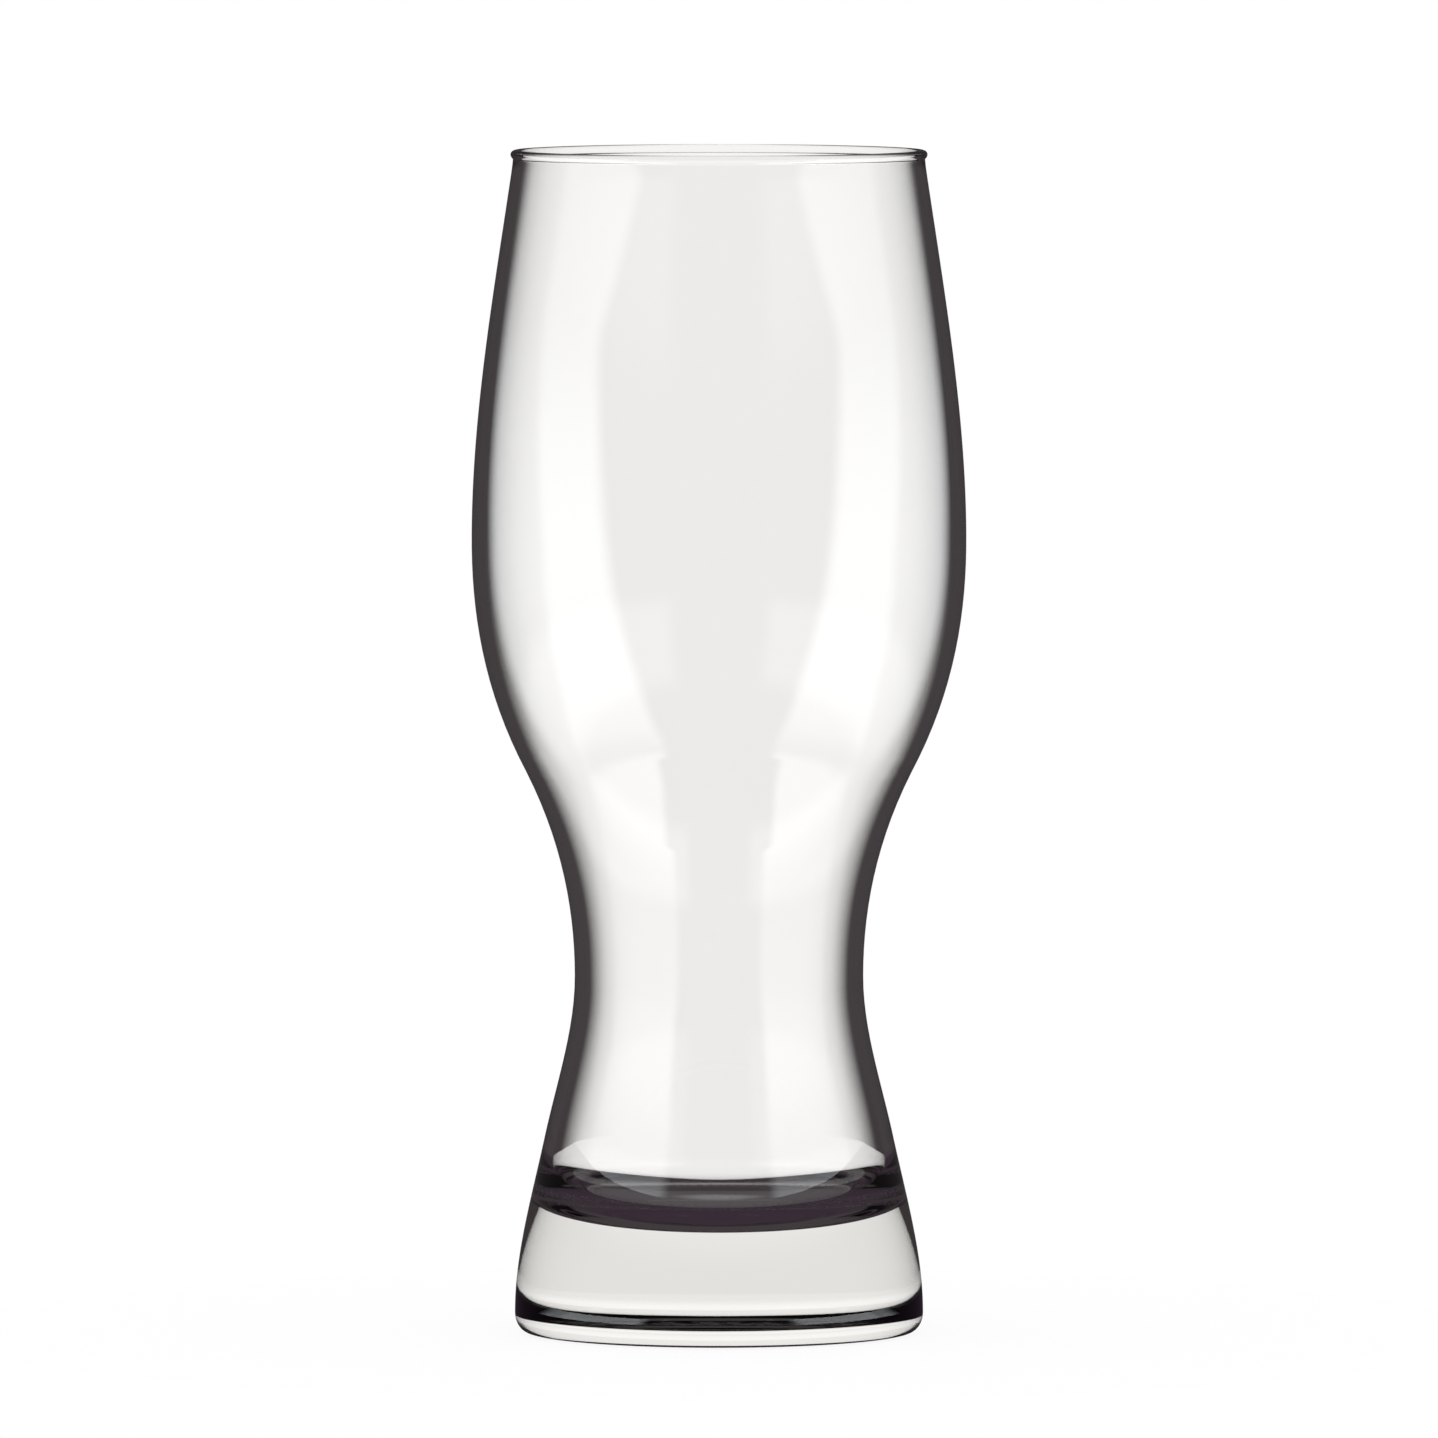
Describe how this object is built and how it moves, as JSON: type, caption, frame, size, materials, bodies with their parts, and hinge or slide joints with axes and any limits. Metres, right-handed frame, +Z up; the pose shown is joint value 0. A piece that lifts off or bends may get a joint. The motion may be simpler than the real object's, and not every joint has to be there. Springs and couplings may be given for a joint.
{
  "type": "beer glass",
  "caption": "Clear beer glass with a rolled rim, a bulged bowl, a narrow waist to grip and a heavy, solid, flared foot; stands on a table and holds a drink",
  "frame": {"origin": "middle of the underside, on the plane of the table that the glass stands on", "axes": "+Z up along the axis that the glass is turned about; +X to the right and +Y away from the viewer of the picture"},
  "size_m": [0.0834, 0.0834, 0.2],
  "materials": {
    "rim_glass": "clear, fire-polished round bead",
    "bowl_glass": "clear, thin blown wall, polished",
    "waist_glass": "clear, blown wall, polished",
    "foot_glass": "clear, solid pressed base, polished"
  },
  "bodies": {
    "root": {"rim": "rim_glass", "bowl": "bowl_glass", "waist": "waist_glass", "foot": "foot_glass"}
  },
  "joints": []
}
